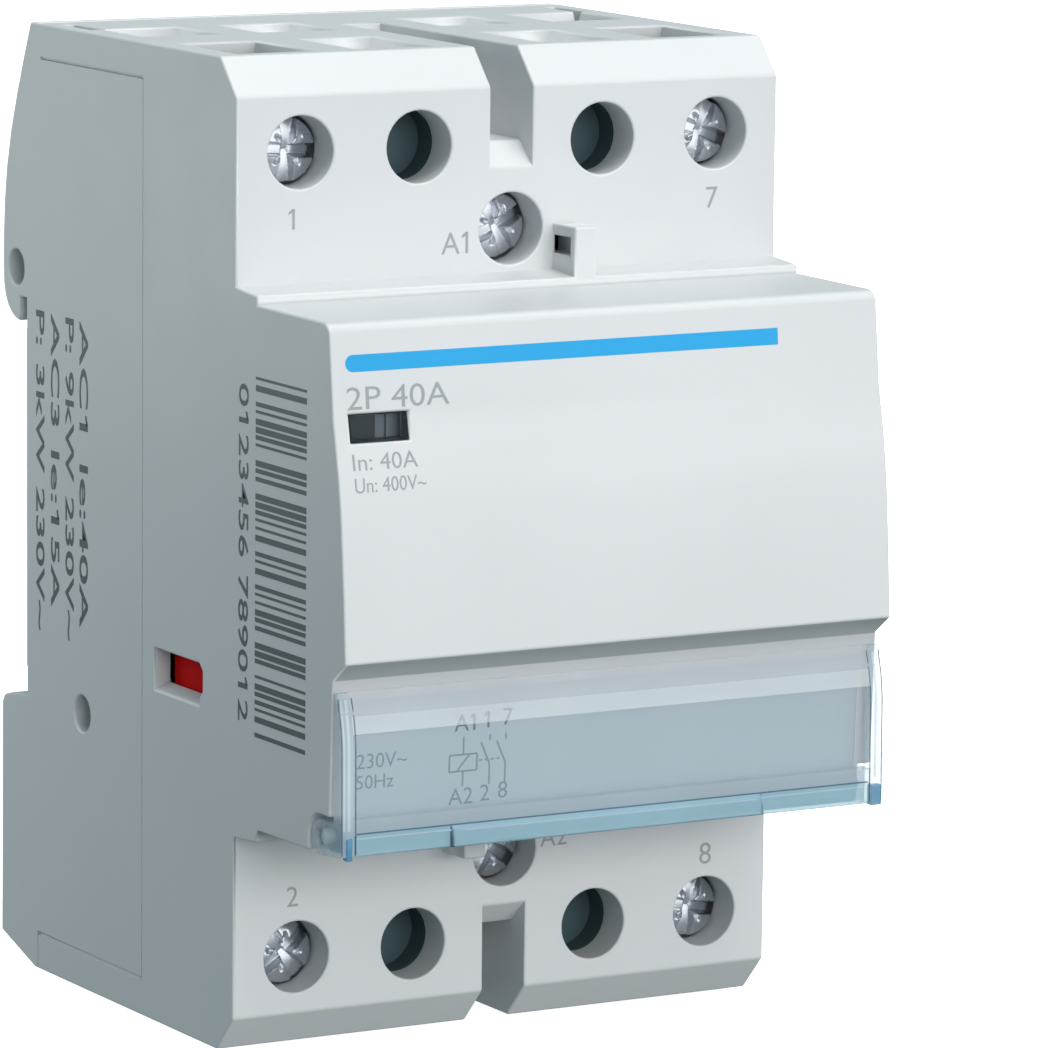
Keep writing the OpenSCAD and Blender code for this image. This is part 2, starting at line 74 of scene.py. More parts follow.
VIEW_AZIMUTH = math.radians(-29.74)
VIEW_ELEVATION = math.radians(9.034)
VIEW_ROLL = math.radians(0.605)
VIEW_DISTANCE = 591.26 * MM
VIEW_OFFSET = (6.474 * MM, 1.098 * MM)
VIEW_CENTRE = Vector((0, -30 * MM, -1.05 * MM))
LENS = 234.33


def add_camera():
    forward = Vector((-math.sin(VIEW_AZIMUTH) * math.cos(VIEW_ELEVATION),
                      math.cos(VIEW_AZIMUTH) * math.cos(VIEW_ELEVATION),
                      -math.sin(VIEW_ELEVATION)))
    level_right = Vector((math.cos(VIEW_AZIMUTH), math.sin(VIEW_AZIMUTH), 0))
    level_up = level_right.cross(forward)
    right = level_right * math.cos(VIEW_ROLL) + level_up * math.sin(VIEW_ROLL)
    up = level_up * math.cos(VIEW_ROLL) - level_right * math.sin(VIEW_ROLL)
    place = VIEW_CENTRE + right * VIEW_OFFSET[0] + up * VIEW_OFFSET[1] - forward * VIEW_DISTANCE
    data = bpy.data.cameras.new("camera")
    data.lens = LENS
    data.sensor_width = 36
    data.clip_start = 0.01
    camera = bpy.data.objects.new("camera", data)
    turn = Matrix((right, up, -forward)).transposed()
    camera.matrix_world = Matrix.Translation(place) @ turn.to_4x4()
    SCENE.collection.objects.link(camera)
    SCENE.camera = camera


def add_light(name, place, target, size, power, colour=(1, 1, 1), mirrored=True):
    data = bpy.data.lights.new(name, "AREA")
    data.shape = "RECTANGLE"
    data.size = size[0]
    data.size_y = size[1]
    data.energy = power
    data.color = colour
    light = bpy.data.objects.new(name, data)
    light.visible_glossy = mirrored
    direction = Vector(target) - Vector(place)
    turn = direction.to_track_quat("-Z", "Y").to_matrix().to_4x4()
    light.matrix_world = Matrix.Translation(Vector(place)) @ turn
    SCENE.collection.objects.link(light)


def add_world(low, level, high):
    """Even studio surround, slightly blue, dimmer below and lighter overhead."""
    world = bpy.data.worlds.new("studio")
    SCENE.world = world
    world.use_nodes = True
    nodes = world.node_tree.nodes
    links = world.node_tree.links
    place = nodes.new("ShaderNodeTexCoord")
    split = nodes.new("ShaderNodeSeparateXYZ")
    spread = nodes.new("ShaderNodeMapRange")
    spread.inputs["From Min"].default_value = -1
    ramp = nodes.new("ShaderNodeValToRGB")
    ramp.color_ramp.elements.new(0.5)
    for element, position, value in zip(ramp.color_ramp.elements, (0, 0.5, 1), (low, level, high)):
        element.position = position
        element.color = (value * 0.84, value * 1.09, value * 1.13, 1)
    links.new(place.outputs["Generated"], split.inputs[0])
    links.new(split.outputs["Z"], spread.inputs["Value"])
    links.new(spread.outputs["Result"], ramp.inputs["Fac"])
    links.new(ramp.outputs["Color"], nodes["Background"].inputs["Color"])
    nodes["Background"].inputs["Strength"].default_value = 1.0


def add_floor(glow):
    """White floor that is seen, but throws no light up at the object."""
    low = cad_box[0][2]
    size = 3.0
    mesh = bpy.data.meshes.new("floor")
    mesh.from_pydata([(-size, -size, low), (size, -size, low), (size, size, low), (-size, size, low)],
                     [], [(0, 1, 2, 3)])
    floor = bpy.data.objects.new("floor", mesh)
    SCENE.collection.objects.link(floor)
    floor.visible_diffuse = False
    floor.visible_glossy = False
    material, shader = new_material("floor_white", (0.9, 0.9, 0.9), 0.9)
    shader.inputs["Emission Color"].default_value = (1, 1, 1, 1)
    shader.inputs["Emission Strength"].default_value = glow
    mesh.materials.append(material)


# ---- Materials ----

def new_material(name, colour, roughness, metallic=0.0):
    material = bpy.data.materials.new(name)
    material.use_nodes = True
    shader = material.node_tree.nodes["Principled BSDF"]
    shader.inputs["Base Color"].default_value = (*colour, 1)
    shader.inputs["Roughness"].default_value = roughness
    shader.inputs["Metallic"].default_value = metallic
    return material, shader


def noise(material, scale, detail=3.0, roughness=0.5, stretch=None):
    nodes = material.node_tree.nodes
    links = material.node_tree.links
    place = nodes.new("ShaderNodeTexCoord")
    texture = nodes.new("ShaderNodeTexNoise")
    texture.inputs["Scale"].default_value = scale
    texture.inputs["Detail"].default_value = detail
    texture.inputs["Roughness"].default_value = roughness
    vector = place.outputs["Object"]
    if stretch:
        mapping = nodes.new("ShaderNodeMapping")
        mapping.inputs["Scale"].default_value = stretch
        links.new(vector, mapping.inputs["Vector"])
        vector = mapping.outputs["Vector"]
    links.new(vector, texture.inputs["Vector"])
    return texture


def bands(material, period, axis):
    """Fine parallel bands, one per period in metres, stacked along an axis."""
    nodes = material.node_tree.nodes
    place = nodes.new("ShaderNodeTexCoord")
    texture = nodes.new("ShaderNodeTexWave")
    texture.wave_type = "BANDS"
    texture.bands_direction = axis
    texture.inputs["Scale"].default_value = 2 * math.pi / (20 * period)
    texture.inputs["Distortion"].default_value = 0.4
    texture.inputs["Detail"].default_value = 1.0
    material.node_tree.links.new(place.outputs["Object"], texture.inputs["Vector"])
    return texture


def add_bump(material, shader, texture, strength, distance):
    nodes = material.node_tree.nodes
    links = material.node_tree.links
    bump = nodes.new("ShaderNodeBump")
    bump.inputs["Strength"].default_value = strength
    bump.inputs["Distance"].default_value = distance
    links.new(texture.outputs["Fac"], bump.inputs["Height"])
    links.new(bump.outputs["Normal"], shader.inputs["Normal"])


def vary(material, shader, texture, socket, low, high, spread=(0.3, 0.7)):
    """Spreads a socket between two values or colours by the texture."""
    nodes = material.node_tree.nodes
    links = material.node_tree.links
    ramp = nodes.new("ShaderNodeValToRGB")
    for element, position, value in zip(ramp.color_ramp.elements, spread, (low, high)):
        element.position = position
        element.color = (*value, 1) if isinstance(value, tuple) else (value, value, value, 1)
    links.new(texture.outputs["Fac"], ramp.inputs["Fac"])
    links.new(ramp.outputs["Color"], shader.inputs[socket])


def shade(colour, factor):
    return tuple(min(1.0, c * factor) for c in colour)


def plastic(name, colour, roughness=0.42, grain=0.12, spread=0.97, specular=0.45):
    """Fine spark-eroded moulding: tiny grain, faint variation of colour and gloss."""
    material, shader = new_material(name, colour, roughness)
    add_bump(material, shader, noise(material, 5200, 2.0), grain, 0.00004)
    vary(material, shader, noise(material, 55, 3.0), "Base Color", shade(colour, spread), colour)
    vary(material, shader, noise(material, 140, 4.0), "Roughness", roughness * 0.92, roughness * 1.1)
    shader.inputs["Specular IOR Level"].default_value = specular
    return material


def metal(name, colour, roughness, grain=0.1, scale=900, stretch=None, spread=0.8):
    material, shader = new_material(name, colour, roughness, 1.0)
    add_bump(material, shader, noise(material, scale, 3.0, stretch=stretch), grain, 0.00005)
    vary(material, shader, noise(material, 260, 4.0), "Base Color", shade(colour, spread), colour)
    vary(material, shader, noise(material, 420, 3.0), "Roughness", roughness * 0.75, roughness * 1.4)
    return material


def banded_metal(name, colour, roughness, period, axis, metallic=1.0, depth=0.5):
    """Stacked sheets or wound wire: bands in both colour and relief."""
    material, shader = new_material(name, colour, roughness, metallic)
    texture = bands(material, period, axis)
    add_bump(material, shader, texture, depth, period * 0.25)
    vary(material, shader, texture, "Base Color", shade(colour, 0.45), colour, (0.05, 0.5))
    return material


def clear_plastic(name, colour, alpha, roughness=0.08):
    """Thin clear moulding, with slight flow marks."""
    material, shader = new_material(name, colour, roughness)
    shader.inputs["Alpha"].default_value = alpha
    shader.inputs["Specular IOR Level"].default_value = 0.6
    add_bump(material, shader, noise(material, 90, 2.0), 0.05, 0.00003)
    vary(material, shader, noise(material, 120, 3.0), "Base Color", shade(colour, 0.94), colour)
    return material


# ---- Fine geometry ----

def cleaned(node):
    """A node's mesh with its triangles joined back into flat faces."""
    bm = bmesh.new()
    bm.from_mesh(NODES[node].data)
    bmesh.ops.remove_doubles(bm, verts=bm.verts[:], dist=1e-6)
    bmesh.ops.dissolve_limit(bm, angle_limit=math.radians(0.6), verts=bm.verts[:], edges=bm.edges[:])
    bmesh.ops.recalc_face_normals(bm, faces=bm.faces[:])
    return bm


def face_reach(face, edge):
    """How far a face reaches from the line of one of its edges."""
    start = edge.verts[0].co
    along = (edge.verts[1].co - start).normalized()
    return max(((v.co - start) - along * (v.co - start).dot(along)).length for v in face.verts)


def near_seam(edge):
    """Whether an edge lies along the flush joint between the two housing parts."""
    middle = (edge.verts[0].co + edge.verts[1].co) / 2 / MM
    depth, z = -middle.y, middle.z
    return (abs(depth - SEAM_DEPTH) < 0.2 or min(abs(depth - 3), abs(depth - 2.4)) < 0.1
            or depth < SEAM_DEPTH and min(abs(z - SEAM_TOP), abs(z - SEAM_FOOT)) < 0.25)


def open_edges(bm, least_angle, least_reach):
    """Outer convex corners that can be seen and have room to be rounded."""
    tree = BVHTree.FromBMesh(bm)
    chosen = []
    for edge in bm.edges:
        if not edge.is_manifold or not edge.is_convex or edge.calc_face_angle() < least_angle:
            continue
        if near_seam(edge):
            continue
        if min(face_reach(face, edge) for face in edge.link_faces) < least_reach:
            continue
        out = (edge.link_faces[0].normal + edge.link_faces[1].normal).normalized()
        start, end = (v.co for v in edge.verts)
        along = (end - start).normalized()
        aside = out.cross(along)
        origin = (start + end) / 2 + out * 0.02 * MM
        if any(tree.ray_cast(origin, out + aside * a + along * b)[0] is None
               for a in (0, -0.8, 0.8) for b in (0, -0.7, 0.7)):
            chosen.append(edge)
    return chosen


def link_piece(name, mesh, body, replaced=()):
    piece = bpy.data.objects.new(name, mesh)
    SCENE.collection.objects.link(piece)
    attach(piece, body)
    if replaced:
        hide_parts(*replaced)
    return piece


def smooth_shading(piece, angle):
    piece.data.shade_smooth()
    piece.data.set_sharp_from_angle(angle=math.radians(angle))
    weighted = piece.modifiers.new("even_faces", "WEIGHTED_NORMAL")
    weighted.keep_sharp = True


def softened(node, name, body, materials, width=0.22, segments=2, choose=None, cuts=()):
    """Stands in for a CAD node, with its visible corners rounded as a moulding's are."""
    bm = cleaned(node)
    edges = open_edges(bm, math.radians(28), 2.2 * width * MM)
    bmesh.ops.bevel(bm, geom=edges, offset=width * MM, offset_type="OFFSET", segments=segments,
                    profile=0.5, affect="EDGES", clamp_overlap=False)
    bmesh.ops.recalc_face_normals(bm, faces=bm.faces[:])
    for point, normal in cuts:
        bmesh.ops.bisect_plane(bm, geom=bm.verts[:] + bm.edges[:] + bm.faces[:], dist=1e-7,
                               plane_co=point, plane_no=normal)
    if choose:
        for face in bm.faces:
            face.material_index = choose(face)
    mesh = bpy.data.meshes.new(name)
    bm.to_mesh(mesh)
    bm.free()
    for material in materials:
        mesh.materials.append(material)
    piece = link_piece(name, mesh, body, (node,))
    smooth_shading(piece, 38)
    return piece


def surface_tree(node):
    bm = bmesh.new()
    bm.from_mesh(NODES[node].data)
    tree = BVHTree.FromBMesh(bm)
    bm.free()
    return tree


def front_place(tree, start_y=-70 * MM):
    """Puts a flat point (x, z) on the front surface, raised by the given height."""
    def place(u, v, raised):
        hit = tree.ray_cast(Vector((u, start_y, v)), Vector((0, 1, 0)))[0]
        return Vector((u, hit.y - raised, v))
    return place


def side_place(u, v, raised):
    """Puts a point of print (depth, z) on the left side."""
    return Vector((cad_box[0][0] - raised, -u, v))


def outlines(words, thin):
    """The letters' points (u, v, on top) and faces, one unit to the line, from the built-in font."""
    curve = bpy.data.curves.new("words", "FONT")
    curve.body = words
    curve.extrude = 0.01
    curve.offset = -thin
    curve.resolution_u = 3
    holder = bpy.data.objects.new("words", curve)
    SCENE.collection.objects.link(holder)
    bpy.context.view_layer.update()
    mesh = bpy.data.meshes.new_from_object(holder.evaluated_get(bpy.context.evaluated_depsgraph_get()))
    verts = [(v.co.x, v.co.y, v.co.z > 0) for v in mesh.vertices]
    faces = [tuple(p.vertices) for p in mesh.polygons]
    bpy.data.objects.remove(holder)
    bpy.data.curves.remove(curve)
    bpy.data.meshes.remove(mesh)
    return verts, faces


def width_of(words, thin):
    us = [v[0] for v in outlines(words, thin)[0]]
    return max(us) - min(us)


INK_HEIGHT = 0.02 * MM
CAPITAL = 0.69


class Ink:
    """Collects thin raised print of one colour on one surface."""

    def __init__(self, place):
        self.place = place
        self.verts = []
        self.faces = []

    def add(self, points, faces):
        start = len(self.verts)
        self.verts += [self.place(u, v, INK_HEIGHT if up else -INK_HEIGHT) for u, v, up in points]
        self.faces += [tuple(start + i for i in face) for face in faces]

    def strip(self, corners, steps=1):
        """A four-cornered patch, cut into steps along its first side."""
        a, b, c, d = (Vector(p) for p in corners)
        points = []
        for i in range(steps + 1):
            f = i / steps
            low = a.lerp(b, f)
            high = d.lerp(c, f)
            points += [(*low, True), (*high, True), (*low, False), (*high, False)]
        faces = []
        for i in range(steps):
            p, q = 4 * i, 4 * (i + 1)
            faces += [(p, q, q + 1, p + 1), (p + 3, q + 3, q + 2, p + 2),
                      (p + 2, q + 2, q, p), (p + 1, q + 1, q + 3, p + 3)]
        e = 4 * steps
        faces += [(0, 1, 3, 2), (e, e + 2, e + 3, e + 1)]
        self.add(points, faces)

    def line(self, start, end, width):
        start, end = Vector(start), Vector(end)
        along = (end - start).normalized()
        aside = Vector((-along.y, along.x)) * width / 2
        self.strip([start - aside, end - aside, end + aside, start + aside])

    def outline(self, points, width):
        for a, b in zip(points, points[1:]):
            self.line(a, b, width)

    def text(self, words, corner, height, length=None, turned=False, thin=0.0):
        """Print with its lower left corner, capital height and length. Turned print reads downwards."""
        verts, faces = outlines(words, thin)
        low_u = min(v[0] for v in verts)
        high_u = max(v[0] for v in verts)
        bar = width_of("1", thin)
        for i, letter in enumerate(words):
            if letter == "1":  # the built-in one is a bare bar, so it gets its flag
                left = max(v[0] for v in outlines(words[:i + 1], thin)[0]) - bar * 0.8
                shape = [(left, CAPITAL), (left - 0.15, CAPITAL - 0.11), (left - 0.15, CAPITAL - 0.11 - bar),
                         (left, CAPITAL - bar * 1.3)]
                start = len(verts)
                verts += [(*p, True) for p in shape] + [(*p, False) for p in shape]
                faces += [tuple(start + k for k in face) for face in
                          ((0, 1, 2, 3), (7, 6, 5, 4), (0, 4, 5, 1),
                           (1, 5, 6, 2), (2, 6, 7, 3), (3, 7, 4, 0))]
        scale_v = height / CAPITAL
        scale_u = length / (high_u - low_u) if length else scale_v
        points = []
        for u, w, up in verts:
            u, w = (u - low_u) * scale_u, w * scale_v
            u, w = (w, -u) if turned else (u, w)
            points.append((corner[0] + u, corner[1] + w, up))
        self.add(points, faces)

    def piece(self, name, body, slot, material):
        mesh = bpy.data.meshes.new(name)
        mesh.from_pydata(self.verts, [], self.faces)
        bm = bmesh.new()
        bm.from_mesh(mesh)
        bmesh.ops.remove_doubles(bm, verts=bm.verts[:], dist=1e-7)
        bmesh.ops.recalc_face_normals(bm, faces=bm.faces[:])
        bm.to_mesh(mesh)
        bm.free()
        mesh.materials.append(material)
        return link_piece(name, mesh, body)


def mm(*values):
    return tuple(v * MM for v in values)


# ---- Screws ----

def lathe(bm, profile, steps, height_at):
    """Closed solid about the screw's axis, from (radius, height, carved) rings."""
    rings = []
    for radius, height, carved in profile:
        if radius < 1e-9:
            rings.append([bm.verts.new((0, -height_at(0, 0, height, carved), 0))])
            continue
        ring = []
        for i in range(steps):
            a = 2 * math.pi * i / steps
            ring.append(bm.verts.new((radius * math.cos(a), -height_at(radius, a, height, carved),
                                      radius * math.sin(a))))
        rings.append(ring)
    for low, high in zip(rings, rings[1:]):
        for i in range(steps):
            n = (i + 1) % steps
            corners = [low[i % len(low)], low[n % len(low)], high[n % len(high)], high[i % len(high)]]
            bm.faces.new(list(dict.fromkeys(corners)))


def smooth_step(low, high, value):
    f = min(1.0, max(0.0, (value - low) / (high - low)))
    return f * f * (3 - 2 * f)


def drive_depth(radius, angle):
    """Depth of the combined slot and cross below the dome, in millimetres."""
    r = radius / MM
    depth = 0
    for k in range(4):
        turn = angle - k * math.pi / 2
        along, across = r * math.cos(turn), abs(r * math.sin(turn))
        if along < 0:
            continue
        if k % 2:
            half, deep = 0.36 + 0.14 * along, 1.05 - 0.22 * along
        else:
            half, deep = 0.46, 0.95
        depth = max(depth, deep * (1 - smooth_step(half - 0.12, half + 0.2, across)))
    for k in range(4):
        turn = angle - (k + 0.5) * math.pi / 2
        along, across = r * math.cos(turn), abs(r * math.sin(turn))
        if along > 0:
            notch = (1 - smooth_step(0.02, 0.3, across)) * (1 - smooth_step(1.1, 1.9, along))
            depth = max(depth, 0.5 * notch)
    return depth


def screw_mesh(name, shaft, pitch):
    """Domed combination head with a slot, a cross and small notches, on a threaded shaft."""
    head_r, dome_r, top, under, foot = mm(2.77, 6, 38.1, 36.2, 30.6)
    profile = [(0, foot, 0), (shaft * 0.8, foot, 0)]
    height = foot + 0.1 * MM
    while height < under - pitch:
        profile += [(shaft * 0.84, height, 0), (shaft, height + pitch * 0.42, 0),
                    (shaft, height + pitch * 0.55, 0)]
        height += pitch
    profile += [(shaft * 0.84, under, 0), (head_r - 0.1 * MM, under, 0), (head_r, under + 0.1 * MM, 0)]
    rim_r = head_r - 0.2 * MM
    rim_top = top - dome_r + math.sqrt(dome_r ** 2 - rim_r ** 2)
    profile += [(head_r, rim_top - 0.24 * MM, 1), (head_r - 0.06 * MM, rim_top - 0.07 * MM, 1)]
    rings = 26
    for i in range(rings + 1):
        r = rim_r * (1 - i / rings)
        profile.append((r, top - dome_r + math.sqrt(dome_r ** 2 - r ** 2), 1))

    def height_at(radius, angle, height, carved):
        if not carved:
            return height
        return max(height - drive_depth(radius, angle) * MM, under + 0.15 * MM)

    bm = bmesh.new()
    lathe(bm, profile, 144, height_at)
    bmesh.ops.recalc_face_normals(bm, faces=bm.faces[:])
    mesh = bpy.data.meshes.new(name)
    bm.to_mesh(mesh)
    bm.free()
    return mesh


def add_screws(material):
    turns = {"1": 4, "7": 20, "2": -38, "8": 12, "a1": -25, "a2": 35}
    meshes = {}
    for terminal, turn in turns.items():
        coil = terminal.startswith("a")
        shaft = (1.75 if coil else 2.5) * MM
        if shaft not in meshes:
            size = "coil" if coil else "main"
            meshes[shaft] = screw_mesh("screw_" + size, shaft, (0.6 if coil else 0.8) * MM)
        low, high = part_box("terminal_screw_" + terminal)
        centre = (low + high) / 2
        mesh = meshes[shaft].copy()
        mesh.transform(Matrix.Rotation(math.radians(turn), 4, "Y"))
        mesh.transform(Matrix.Translation((centre.x, 0, centre.z)))
        mesh.materials.clear()
        mesh.materials.append(material)
        piece = link_piece("screw_head_" + terminal, mesh, "screw_" + terminal,
                           ("terminal_screw_" + terminal,))
        smooth_shading(piece, 24)
    for mesh in meshes.values():
        bpy.data.meshes.remove(mesh)


# ---- Housing ----

# Depth and height that hold the slope under the nose, in millimetres
SLOPE_DEPTH, SLOPE_HEIGHT = (57.5, 60), (-7.3, -5.4)


def under_nose(face):
    """Picks the slope below the front panel, painted darker to stand in for the shade there."""
    centre = face.calc_center_median() / MM
    sloping = abs(face.normal.x) < 0.1 and face.normal.y < -0.3 and face.normal.z < -0.5
    inside = (SLOPE_HEIGHT[0] < centre.z < SLOPE_HEIGHT[1]
              and SLOPE_DEPTH[0] < -centre.y < SLOPE_DEPTH[1])
    return 1 if sloping and inside else 0


# ---- Clear cover ----

def block_piece(name, low, high, bevel, body, material):
    """Small rounded block between two corners (x, depth, z) in millimetres."""
    bm = bmesh.new()
    bmesh.ops.create_cube(bm, size=1)
    for v in bm.verts:
        f = [c + 0.5 for c in v.co]
        x, depth, z = (low[k] + (high[k] - low[k]) * (f[k] if k != 1 else 1 - f[k]) for k in range(3))
        v.co = (x * MM, -depth * MM, z * MM)
    bmesh.ops.bevel(bm, geom=bm.edges[:], offset=bevel * MM, offset_type="OFFSET", segments=3,
                    profile=0.5, affect="EDGES", clamp_overlap=True)
    bmesh.ops.recalc_face_normals(bm, faces=bm.faces[:])
    mesh = bpy.data.meshes.new(name)
    bm.to_mesh(mesh)
    bm.free()
    mesh.materials.append(material)
    piece = link_piece(name, mesh, body)
    smooth_shading(piece, 60)
    return piece


# Heights on the cover where its look changes, and the width between its flanges, in millimetres
BROW_FOOT, SHOULDER_FOOT, SILL_TOP, BAR_TOP = -10, -11.45, -18.5, -19.7
PANEL_HALF = 25


def add_cover():
    """Clear cover: tinted bar and edges, a darker sill, painted highlight and reflection bands, painted
    glints.
    """
    panel = clear_plastic("cover_panel", (0.53, 0.64, 0.73), 0.1, 0.06)
    # Painted highlight: a light, more opaque band where the cover bends back below its top
    shoulder = clear_plastic("cover_shoulder", (0.92, 0.98, 1.0), 0.34, 0.1)
    flange = clear_plastic("cover_flange", (0.60, 0.70, 0.78), 0.36, 0.1)
    bar = clear_plastic("cover_bar", (0.31, 0.50, 0.60), 0.6, 0.1)
    # Painted reflection: a greyer band on the cover's tilted top edge
    brow = clear_plastic("cover_brow", (0.74, 0.77, 0.81), 0.35, 0.1)
    sill = clear_plastic("cover_sill", (0.41, 0.50, 0.57), 0.48, 0.1)
    deep = clear_plastic("cover_deep", (0.08, 0.28, 0.47), 0.7, 0.08)
    line = clear_plastic("cover_line", (0.07, 0.13, 0.19), 0.6, 0.1)
    glint = clear_plastic("cover_glint", (0.70, 0.82, 0.90), 0.4, 0.1)

    materials = [panel, shoulder, flange, bar, brow, sill]

    def choose(face):
        centre = face.calc_center_median() / MM
        if centre.z < BAR_TOP - 0.02 and abs(centre.x) < PANEL_HALF + 0.05:
            return materials.index(bar)
        if abs(centre.x) > PANEL_HALF - 0.05:
            return materials.index(flange)
        # Near the top, faces get the painted reflection band above BROW_FOOT and the painted highlight band
        # below it
        if centre.z > SHOULDER_FOOT and face.normal.y < -0.5:
            return materials.index(brow if centre.z > BROW_FOOT else shoulder)
        return materials.index(sill if centre.z < SILL_TOP else panel)

    cuts = [((x * MM, 0, 0), (1, 0, 0)) for x in (-PANEL_HALF, PANEL_HALF)]
    cuts += [((0, 0, z * MM), (0, 0, 1)) for z in (BROW_FOOT, SHOULDER_FOOT, SILL_TOP, BAR_TOP)]
    softened("label_cover", "clear_cover", "cover", materials, 0.12, 2, choose, cuts)
    surface = front_place(surface_tree("label_cover"))
    lines = Ink(surface)
    for left, right in ((-26.12, -26.02), (-24.85, -24.75), (24.85, 24.95), (26.02, 26.12)):
        lines.strip([mm(left, -21.4), mm(left, -8.5), mm(right, -8.5), mm(right, -21.4)], 16)
    lines.strip([mm(-24.7, -19.76), mm(24.7, -19.76), mm(24.7, -19.64), mm(-24.7, -19.64)], 30)
    for x in (-24.9, -15.95, 13.88, 24.8):
        lines.strip([mm(x, -21.5), mm(x, -19.8), mm(x + 0.1, -19.8), mm(x + 0.1, -21.5)], 2)
    lines.piece("cover_lines", "cover", "clear_cover", line)
    # Painted glints: light strips along the flanges and just under the bar's top edge
    glints = Ink(surface)
    for left, right in ((-25.55, -25.3), (-25.95, -25.8), (25.3, 25.55)):
        glints.strip([mm(left, -19.4), mm(left, -8.6), mm(right, -8.6), mm(right, -19.4)], 12)
    glints.strip([mm(-24.7, -20.15), mm(24.7, -20.15), mm(24.7, -20.05), mm(-24.7, -20.05)], 30)
    glints.piece("cover_glints", "cover", "clear_cover", glint)
    for name, low, high in (("cover_corner_left", (-25.7, 58.6, -21.9), (-25.1, 59.4, -20.0)),
                            ("cover_corner_right", (25.0, 58.6, -21.8), (26.1, 59.4, -20.0))):
        block_piece(name, low, high, 0.16, "cover", deep)


# ---- Indicator ----

def add_window_lens():
    """Flush tinted lens, whose dark sides hide the wall it is set in."""
    clear = clear_plastic("lens_clear", (0.05, 0.07, 0.085), 0.16)
    edge = plastic("lens_edge", (0.012, 0.018, 0.02), 0.4, 0.02)

    def choose(face):
        return 0 if abs(face.normal.y) > 0.7 else 1

    softened("indicator_lens", "window_lens", "housing", [clear, edge],
             0.06, 1, choose)


def add_flag_face():
    """Dark, mid and light fields on the flag's curved face, which show through the window."""
    pivot = Vector((-21.5 * MM, -47 * MM, 0))
    radius = 8.63 * MM
    fields = (("flag_dark", -17.5, 1.0, (0.012, 0.02, 0.024)), ("flag_mid", 1.4, 7.0, (0.19, 0.24, 0.27)),
              ("flag_light", 8.7, 24.5, (0.26, 0.32, 0.36)))
    for name, start, end, colour in fields:
        bm = bmesh.new()
        steps = 8
        rows = []
        for i in range(steps + 1):
            a = math.radians(start + (end - start) * i / steps)
            out = Vector((math.sin(a), -math.cos(a), 0))
            rows.append([bm.verts.new(pivot + out * r + Vector((0, 0, z * MM)))
                         for r, z in ((radius - 0.06 * MM, 12.35), (radius, 12.35), (radius, 14.65),
                                      (radius - 0.06 * MM, 14.65))])
        for a, b in zip(rows, rows[1:]):
            for k in range(4):
                n = (k + 1) % 4
                bm.faces.new((a[k], b[k], b[n], a[n]))
        bm.faces.new(rows[0])
        bm.faces.new(rows[-1][::-1])
        bmesh.ops.recalc_face_normals(bm, faces=bm.faces[:])
        mesh = bpy.data.meshes.new(name)
        bm.to_mesh(mesh)
        bm.free()
        mesh.materials.append(plastic(name, colour, 0.4, 0.05))
        smooth_shading(link_piece(name, mesh, "flag"), 40)


# ---- Printing ----

